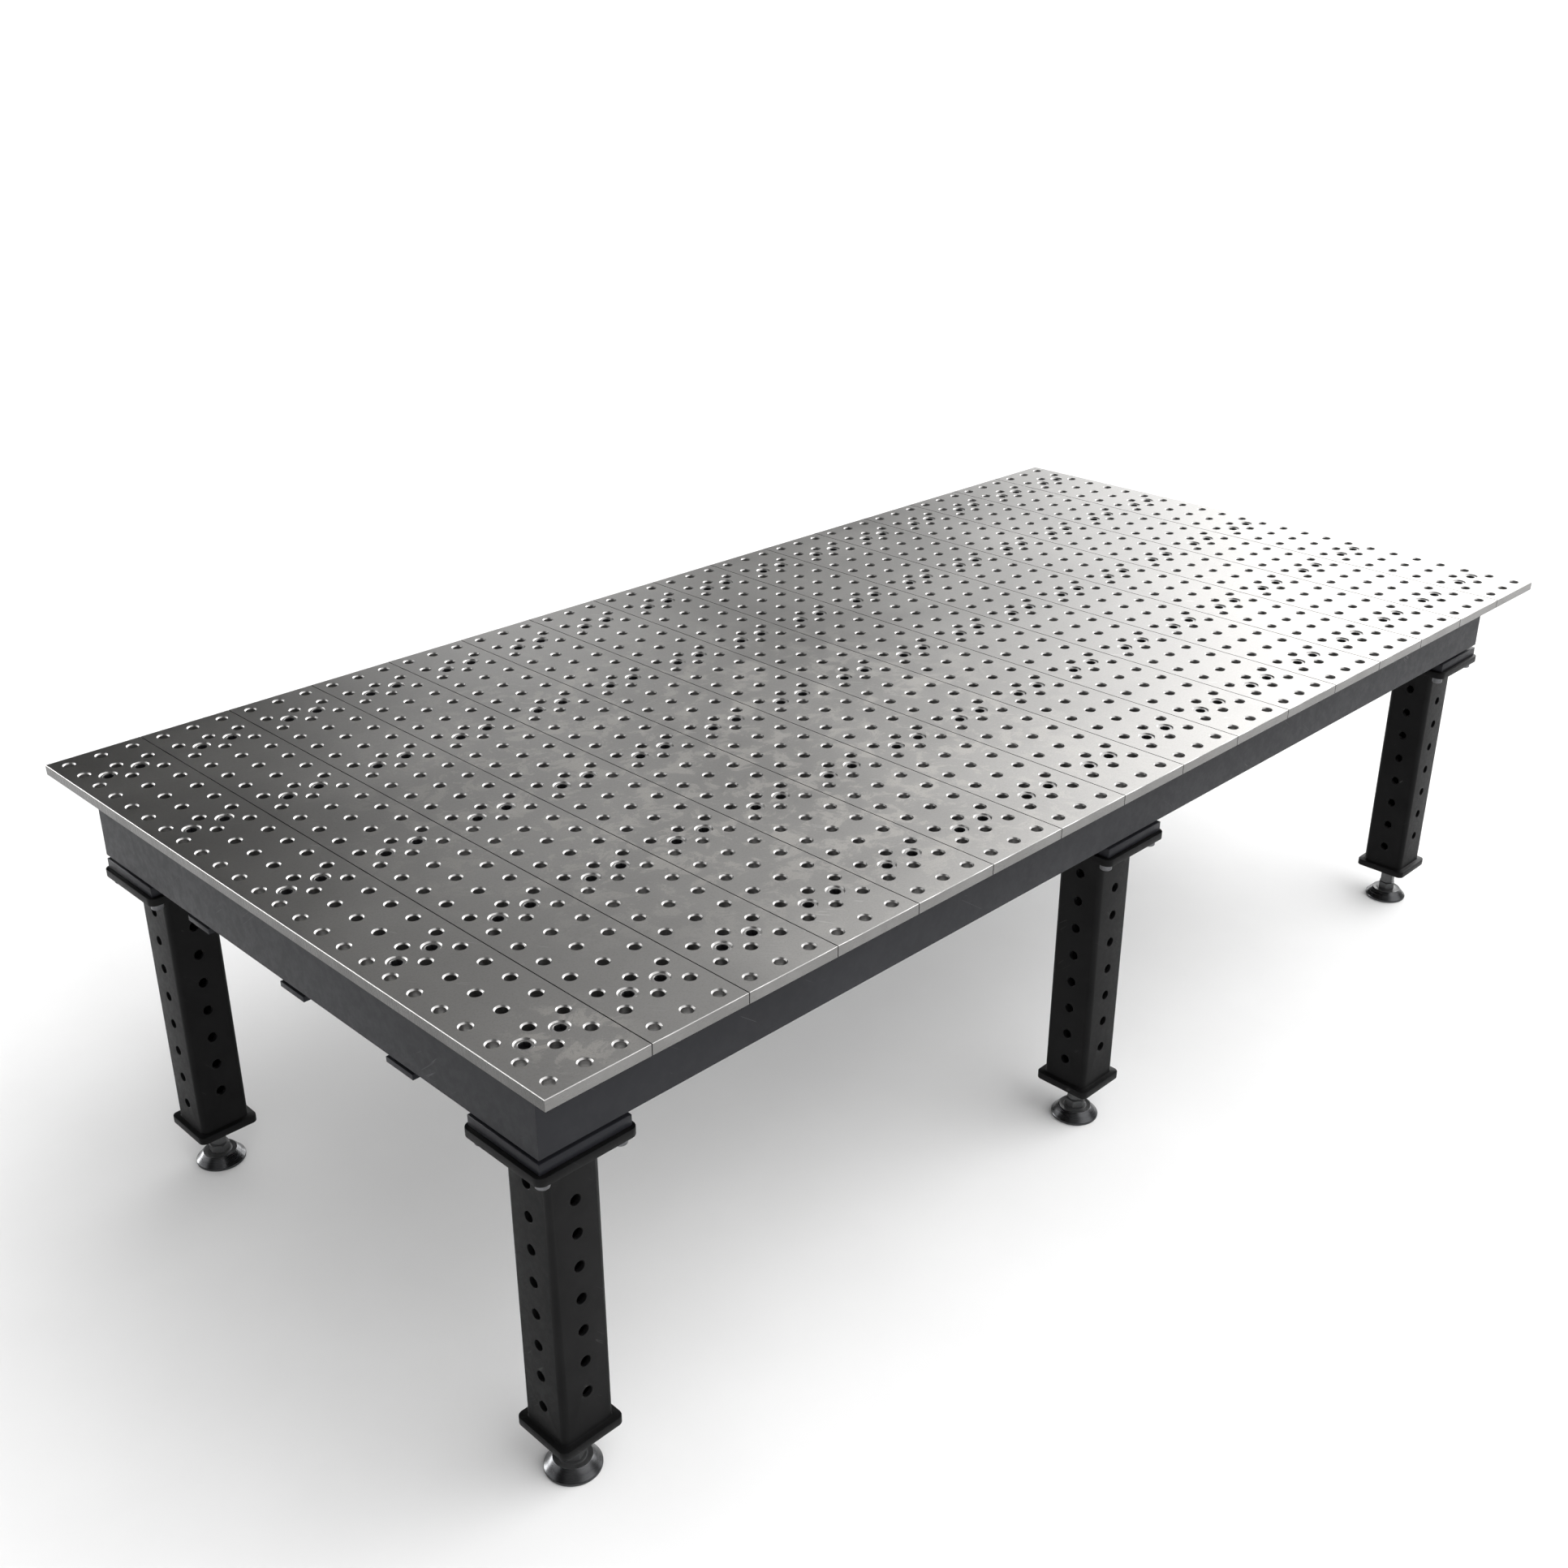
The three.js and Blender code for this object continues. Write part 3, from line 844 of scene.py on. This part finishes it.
def leg_face(shape, distance, half_width, levels, radius, turn, z0, z1):
    """A drilled side of the square tube, as cells one above the other between z0 and z1.

    Gives the heights where the cells meet.
    """

    def at(u, z):
        c, s = math.cos(turn), math.sin(turn)
        return (distance * c - u * s, distance * s + u * c, z)

    edges = [z0]
    for a, b in zip(levels, levels[1:]):
        edges.append((a + b) / 2)
    edges.append(z1)
    for k, level in enumerate(levels):
        ring = hole_ring(0.0, level, radius)
        low, high = edges[k], edges[k + 1]
        right = [(0.0, low), (half_width, low), (half_width, high), (0.0, high)]
        left = [(0.0, low), (-half_width, low), (-half_width, high), (0.0, high)]
        right += ring[: HOLE_HALF + 1]
        left += [ring[0]] + ring[: HOLE_HALF - 1 : -1]
        for points in (right, left):
            shape.face(shape.ring([at(*p) for p in points]), 0)
    return edges


def leg_corner(shape, half, radius, quarter, heights):
    """The rounded corner of the tube, split at every height where a side has an edge."""
    a0 = quarter * math.pi / 2
    centre = half - radius
    cx = centre * (1 if quarter in (0, 3) else -1)
    cy = centre * (1 if quarter in (0, 1) else -1)
    columns = []
    for k in range(CORNER_STEPS + 1):
        a = a0 + k * math.pi / 2 / CORNER_STEPS
        x, y = cx + radius * math.cos(a), cy + radius * math.sin(a)
        if k == 0:
            own = heights[quarter % 2]
        elif k == CORNER_STEPS:
            own = heights[(quarter + 1) % 2]
        else:
            own = (heights[0][0], heights[0][-1])
        columns.append([(x, y, z) for z in own])
    for a, b in zip(columns, columns[1:]):
        shape.face(shape.ring(a + b[::-1]), 0)


def leg_mesh(low, high):
    """Square tube with its flange and foot plate as one welded body, round its centre line."""
    shape = Shape()
    tube_top = high - FLANGE_T
    tube_low = low + FOOT_PLATE_T
    top_x = high - LEG_HOLE_TOP_X
    levels_x = [top_x - k * PITCH for k in range(LEG_HOLES)][::-1]
    levels_y = [z + PITCH / 2 for z in levels_x]
    fillet, soft, burr = LEG_FILLET, LEG_HOLE_BEVEL, LEG_HOLE_BURR
    outer, inner = LEG_SIDE / 2, LEG_SIDE / 2 - LEG_WALL
    inner_r = LEG_R - LEG_WALL
    for half, radius, hole, z0, z1 in (
        (outer, LEG_R, HOLE_R + soft, tube_low + fillet, tube_top - fillet),
        (inner, inner_r, HOLE_R + burr, tube_low, tube_top),
    ):
        heights = []
        for quarter in range(4):
            levels = levels_x if quarter % 2 == 0 else levels_y
            turn = quarter * math.pi / 2
            edges = leg_face(shape, half, half - radius, levels, hole, turn, z0, z1)
            if quarter < 2:
                heights.append(edges)
        for quarter in range(4):
            leg_corner(shape, half, radius, quarter, heights)
    for quarter in range(4):
        levels = levels_x if quarter % 2 == 0 else levels_y
        c, s = math.cos(quarter * math.pi / 2), math.sin(quarter * math.pi / 2)
        for level in levels:
            rings = []
            for distance, radius in (
                (outer, HOLE_R + soft),
                (outer - soft, HOLE_R),
                (inner + burr, HOLE_R),
                (inner, HOLE_R + burr),
            ):
                ring = hole_ring(0.0, level, radius)
                rings.append(
                    [(distance * c - u * s, distance * s + u * c, z) for u, z in ring]
                )
            shape.stack(rings)
    leg_flange(shape, tube_top, high, fillet, outer, inner, inner_r)
    leg_foot_plate(shape, low, tube_low, fillet, outer, inner, inner_r)
    return shape.mesh("leg")


def tube_edge(half, radius, z, grow=0.0):
    """The tube's outline with the mid-side points that its drilled sides end on."""
    points = []
    side = 2 * (half + grow)
    corner = rounded_square(side, radius + grow, z)
    for quarter in range(4):
        a = quarter * math.pi / 2
        points.append(((half + grow) * math.cos(a), (half + grow) * math.sin(a), z))
        first = quarter * (CORNER_STEPS + 1)
        points.extend(corner[first : first + CORNER_STEPS + 1])
    return points


def plate_rings(half_side, radius, z_in, z_out, bevel=0.9):
    """Rounded plate edge from its inner face at z_in to its outer face at z_out."""
    up = 1 if z_out > z_in else -1
    rings = []
    for inset, z in (
        (bevel, z_in),
        (bevel * 0.3, z_in + up * bevel * 0.3),
        (0.0, z_in + up * bevel),
        (0.0, z_out - up * bevel),
        (bevel * 0.3, z_out - up * bevel * 0.3),
        (bevel, z_out),
    ):
        rings.append(tube_edge(half_side, radius, z, -inset))
    return rings


def leg_flange(shape, z0, z1, fillet, outer, inner, inner_r):
    """The flange from the weld outwards and over its top, and its underside in the tube."""
    rings = [
        tube_edge(outer, LEG_R, z0 - fillet),
        tube_edge(outer, LEG_R, z0 - fillet * 0.35, fillet * 0.3),
        tube_edge(outer, LEG_R, z0, fillet),
        *plate_rings(FLANGE_HALF, FLANGE_R, z0, z1),
    ]
    shape.stack(rings, cap_last=0)
    shape.face(shape.ring(tube_edge(inner, inner_r, z0)), 0)


def leg_foot_plate(shape, z0, z1, fillet, outer, inner, inner_r):
    """The foot plate from the weld outwards, through its stud hole and back inside the tube."""
    bottom = circle(STUD_HOLE_R, z0, count=32)
    rings = [
        tube_edge(outer, LEG_R, z1 + fillet),
        tube_edge(outer, LEG_R, z1 + fillet * 0.35, fillet * 0.3),
        tube_edge(outer, LEG_R, z1, fillet),
        *plate_rings(FOOT_PLATE_SIDE / 2, FOOT_PLATE_R, z1, z0),
        bottom,
        circle(STUD_HOLE_R, z1, count=32),
        tube_edge(inner, inner_r, z1),
    ]
    shape.stack(rings)


def flange_screws_mesh(z_flange):
    """Four socket screws hanging below the flange: rounded head with a hexagon socket."""
    shape = Shape()
    count = 36
    for k, (sx, sy) in enumerate(((-1, -1), (1, -1), (1, 1), (-1, 1))):
        turn = math.radians(17.0 + 29.0 * k)
        cx, cy = sx * BOLT_OFFSET, sy * BOLT_OFFSET
        angles = [turn + 2 * math.pi * m / count for m in range(count)]

        def ring(radius, drop, hexagon=False):
            points = []
            for a in angles:
                r = hex_radius(radius * 2, a, turn) if hexagon else radius
                points.append(
                    (cx + r * math.cos(a), cy + r * math.sin(a), z_flange - drop)
                )
            return points

        r, h = BOLT_HEAD_R, BOLT_HEAD_H
        rings = [
            ring(r - 0.3, 0.15),
            ring(r, 0.5),
            ring(r, h - 1.9),
            ring(r - 0.25, h - 0.95),
            ring(r - 0.95, h - 0.25),
            ring(r - 1.9, h),
            ring(BOLT_SOCKET_R + 1.15, h),
            ring(BOLT_SOCKET_R, h - 0.9, True),
            ring(BOLT_SOCKET_R, h - 6.5, True),
        ]
        shape.stack(rings, marks=(0,) * 6 + (1, 1), cap_first=0, cap_last=1)
    return shape.mesh("flange_screws")


def build_legs():
    """Six copies of one leg and its four screws."""
    low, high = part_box("leg_front_left")
    leg = leg_mesh(low.z / MM, high.z / MM)
    screws = flange_screws_mesh(high.z / MM - FLANGE_T)
    for p in PLACES:
        low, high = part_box(f"leg_{p}")
        centre = Matrix.Translation(((low.x + high.x) / 2, (low.y + high.y) / 2, 0))
        own = leg.copy()
        own.transform(centre)
        place(f"drilled_leg_{p}", own, (BLACK,), "table", [f"leg_{p}"])
        own = screws.copy()
        own.transform(centre)
        place(f"flange_screws_{p}", own, (ZINC, SOCKET_SHADE), "table")


# ---------------------------------------------------------------- levelling feet


def hexagon_rings(across, turn, z0, z1, bore, count=48):
    """Outside of a hexagon prism whose corners are turned down by a 30 degree cone at both ends."""
    angles = [turn + 2 * math.pi * k / count for k in range(count)]
    face_r = across / 2 * 0.985
    slope = math.tan(math.radians(30))

    def at(radius, z):
        return [(radius * math.cos(a), radius * math.sin(a), z) for a in angles]

    def turned(end, sign):
        points = []
        for a in angles:
            r = hex_radius(across, a, turn)
            drop = max(0.0, r - face_r) * slope
            points.append((r * math.cos(a), r * math.sin(a), end - sign * drop))
        return points

    rings = [at(face_r, z0), turned(z0, -1), turned(z1, 1), at(face_r, z1)]
    if bore:
        rings += [at(bore + 0.9, z1), at(bore, z1 - 0.9), at(bore, z0 + 0.9)]
        rings += [at(bore + 0.9, z0)]
    return rings


def thread_rings(radius, pitch, depth, z0, z1, count=24, rows=8):
    """Rings that climb along a helix, cut off level at both ends."""
    turns = (z1 - z0) / pitch
    total = int(math.ceil(turns + 1)) * rows
    rings = []
    for row in range(-rows, total + 1):
        points = []
        for k in range(count):
            a = 2 * math.pi * k / count
            z = z0 + (row / rows + k / count) * pitch
            cut = min(max(z, z0), z1)
            phase = (row / rows) % 1.0
            tooth = abs(phase - 0.5) * 2
            height = min(max((tooth - THREAD_CREST) / THREAD_FLANK, 0.0), 1.0)
            r = radius - depth * height
            ends = radius - depth + min(cut - z0, z1 - cut)
            r = min(r, max(ends, radius - depth))
            points.append((r * math.cos(a), r * math.sin(a), cut))
        rings.append(points)
    return rings


def stud_piece(z_top):
    """Levelling screw: spigot, hexagon, neck and threaded stud."""
    shape = Shape()
    z0, z1 = SCREW_HEX_Z
    turn = math.radians(SCREW_HEX_TURN)
    root_r = STUD_R - THREAD_DEPTH
    spigot = [
        circle(SPIGOT_R - SPIGOT_BEVEL, SPIGOT_Z, count=48),
        circle(SPIGOT_R, SPIGOT_Z + SPIGOT_BEVEL, count=48),
        circle(SPIGOT_R, z0, count=48),
    ]
    hexagon = hexagon_rings(SCREW_HEX_AF, turn, z0, z1, 0)
    neck = [circle(root_r + NECK, z1, count=48), circle(root_r, z1 + NECK, count=48)]
    below, above = ([spun(ring, turn) for ring in part] for part in (spigot, neck))
    shape.stack(below + hexagon + above, cap_first=0, cap_last=0)
    thread = thread_rings(STUD_R, THREAD_PITCH, THREAD_DEPTH, z1 + NECK, z_top)
    shape.stack(thread, cap_first=0, cap_last=0)
    return shape.mesh("levelling_screw", 60)


def nut_piece(z0, z1):
    """Long nut: a bored hexagon, closed from its last ring back to its first."""
    shape = Shape()
    turn = math.radians(LONG_NUT_TURN)
    ids = shape.stack(hexagon_rings(LONG_NUT_AF, turn, z0, z1, STUD_HOLE_R - 0.1))
    shape.strip(ids[-1], ids[0])
    return shape.mesh("long_nut")


PAD_LIP_R = 27.2  # the recess inside this radius is dark
PAD_PROFILE = (
    # radius and height round the foot, from the middle of its underside
    (0.0, 0.0),
    (36.6, 0.0),
    (38.6, 0.25),
    (39.6, 1.0),
    (39.9, 2.0),
    (39.9, 4.2),
    (39.7, 4.75),
    (39.2, 5.25),
    (33.4, 11.9),
    (27.9, 18.2),
    (27.2, 18.75),
    (26.3, 18.9),
    (25.6, 18.6),
    (19.6, 18.6),
    (18.9, 19.0),
    (18.2, 19.2),
    (11.2, 19.2),
    (10.4, 18.4),
    (10.4, 8.0),
    (0.0, 8.0),
)


def pad_piece():
    """Round foot, turned from its profile."""
    shape = Shape()
    profile = PAD_PROFILE[1:-1]
    rings = [circle(r, z, count=72) for r, z in profile]
    marks = [1 if r <= PAD_LIP_R else 0 for r, _ in profile[:-1]]
    shape.stack(rings, marks, cap_first=0, cap_last=1)
    return shape.mesh("foot_pad", 28)


def build_feet():
    """Nut, levelling screw and pad of each foot, in a frame on the foot's own axis."""
    nut_low, nut_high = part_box("long_nut_front_left")
    _, stud_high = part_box("levelling_screw_front_left")
    nut = nut_piece(nut_low.z / MM, nut_high.z / MM)
    stud = stud_piece(stud_high.z / MM)
    pad = pad_piece()
    for p in PLACES:
        low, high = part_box(f"foot_pad_{p}")
        centre = Vector(((low.x + high.x) / 2, (low.y + high.y) / 2, 0))
        for kind, mesh, looks, slot in (
            ("long_nut", nut, (OXIDE,), "dark_steel"),
            ("levelling_screw", stud, (OXIDE,), "dark_steel"),
            ("foot_pad", pad, (TURNED, OXIDE), "foot_steel"),
        ):
            node = f"{kind}_{p}"
            place(f"fine_{node}", mesh.copy(), looks, node, [node], centre)


# ---------------------------------------------------------------- studio


FLOOR_RINGS = (1.5, 3.0, 6.0, 12.0, 30.0, 80.0, 200.0)  # radii, m
FLOOR_Z = -0.2  # mm, so that it does not share a plane with the pads' undersides


def build_floor():
    """A wide pale disc in rings, so that its far part can shade off smoothly."""
    shape = Shape()
    rings = [circle(r / MM, FLOOR_Z, count=64) for r in FLOOR_RINGS]
    ids = [shape.ring(r) for r in rings]
    shape.face(ids[0])
    for a, b in zip(ids, ids[1:]):
        shape.strip(a, b)
    mesh = shape.mesh("floor")
    n = Nodes("pale_floor")
    radius, _ = n.round_axis()
    clouds = n.spread(n.noise(3.0, 3.0), 0.3, 0.7)
    tone = n.mix(clouds, (0.80, 0.80, 0.80), (0.82, 0.82, 0.82))
    n.feed(n.shader, "Emission Color", (1.0, 1.0, 1.0, 1.0))
    n.feed(n.shader, "Emission Strength", n.spread(radius, 2.4, 7.0, 0.0, 0.5))
    material = n.finish(tone, 0.75, 0.0)
    floor = bpy.data.objects.new("floor", mesh)
    bpy.context.scene.collection.objects.link(floor)
    mesh.materials.append(material)
    for f in mesh.polygons:
        f.use_smooth = False


CAMERA_PLACE = (-2.1315, -1.8824, 1.8118)  # m
CAMERA_TURN = (64.803, 0.0, -45.04)  # degrees
CAMERA_LENS = 40.12  # mm, on a sensor 36 mm wide


def build_camera():
    """The photograph's viewpoint, solved from the top's holes and the upright legs."""
    camera = bpy.data.objects.new("camera", bpy.data.cameras.new("camera"))
    bpy.context.scene.collection.objects.link(camera)
    camera.location = CAMERA_PLACE
    camera.rotation_euler = [math.radians(a) for a in CAMERA_TURN]
    camera.data.lens = CAMERA_LENS
    camera.data.sensor_width = 36.0
    camera.data.clip_end = 400.0
    camera.data.dof.use_dof = False
    bpy.context.scene.camera = camera


# Soft lights of the studio, as round patches of the room: azimuth from +X and elevation of the
# middle, radius, width of the soft edge (all in degrees), and strength.
ROOM_MIRRORED = 0.06
LIGHTS_MIRRORED = (
    (4.0, 32.0, 25.0, 6.0, 6.4),
    (30.0, 0.0, 10.0, 4.0, 9.0),
    (55.0, 7.0, 4.0, 4.0, 8.0),
    (42.0, 36.0, 12.0, 7.0, 1.0),
    (108.0, 3.0, 9.0, 5.0, 24.0),
    (123.0, 23.0, 8.0, 6.0, 4.0),
    (142.0, 33.0, 15.0, 7.0, 2.0),
    (-62.0, 50.0, 27.0, 9.0, 2.2),
    (225.0, 36.0, 24.0, 10.0, 0.35),
    (300.0, 12.0, 12.0, 8.0, 0.5),
)
ROOM_SPREAD = 1.38
LIGHTS_SPREAD = (
    (-60.0, 42.0, 42.0, 14.0, 2.5),
    (10.0, 45.0, 25.0, 12.0, 0.8),
    (150.0, 60.0, 35.0, 15.0, -1.2),
)


def build_world():
    """Studio seen in reflections, a softer copy of it for matt surfaces, and plain white behind."""
    world = bpy.data.worlds.new("studio")
    bpy.context.scene.world = world
    world.cycles.sampling_method = "NONE"
    world.use_nodes = True
    tree = world.node_tree
    tree.nodes.clear()
    new, link = tree.nodes.new, tree.links.new
    coordinates = new("ShaderNodeTexCoord")

    def background(room, lights):
        total = None
        for azimuth, elevation, radius, soft, strength in lights:
            a, e = math.radians(azimuth), math.radians(elevation)
            way = (math.cos(a) * math.cos(e), math.sin(a) * math.cos(e), math.sin(e))
            dot = new("ShaderNodeVectorMath")
            dot.operation = "DOT_PRODUCT"
            link(coordinates.outputs["Generated"], dot.inputs[0])
            dot.inputs[1].default_value = way
            patch = new("ShaderNodeMapRange")
            patch.interpolation_type = "SMOOTHSTEP"
            link(dot.outputs["Value"], patch.inputs["Value"])
            edge = (radius + soft, max(radius - soft, 0.0))
            patch.inputs["From Min"].default_value = math.cos(math.radians(edge[0]))
            patch.inputs["From Max"].default_value = math.cos(math.radians(edge[1]))
            patch.inputs["To Max"].default_value = strength
            plus = new("ShaderNodeMath")
            link(patch.outputs[0], plus.inputs[0])
            if total is None:
                plus.inputs[1].default_value = room
            else:
                link(total, plus.inputs[1])
            total = plus.outputs[0]
        node = new("ShaderNodeBackground")
        link(total, node.inputs["Strength"])
        return node.outputs[0]

    path = new("ShaderNodeLightPath")

    def choose(ray, otherwise, then):
        mix = new("ShaderNodeMixShader")
        link(path.outputs[ray], mix.inputs[0])
        link(otherwise, mix.inputs[1])
        link(then, mix.inputs[2])
        return mix.outputs[0]

    seen = new("ShaderNodeBackground")
    seen.inputs["Color"].default_value = (1.0, 1.0, 1.0, 1.0)
    mirrored = background(ROOM_MIRRORED, LIGHTS_MIRRORED)
    spread = background(ROOM_SPREAD, LIGHTS_SPREAD)
    shown = choose("Is Diffuse Ray", mirrored, spread)
    shown = choose("Is Camera Ray", shown, seen.outputs[0])
    out = new("ShaderNodeOutputWorld")
    link(shown, out.inputs["Surface"])


def build_studio():
    """Floor, camera and lights, with colours shown as they are."""
    build_floor()
    build_camera()
    build_world()
    scene = bpy.context.scene
    scene.view_settings.view_transform = "Standard"
    scene.view_settings.look = "None"


# ---------------------------------------------------------------- all of it


build_top()
build_frame()
build_legs()
build_feet()
build_studio()
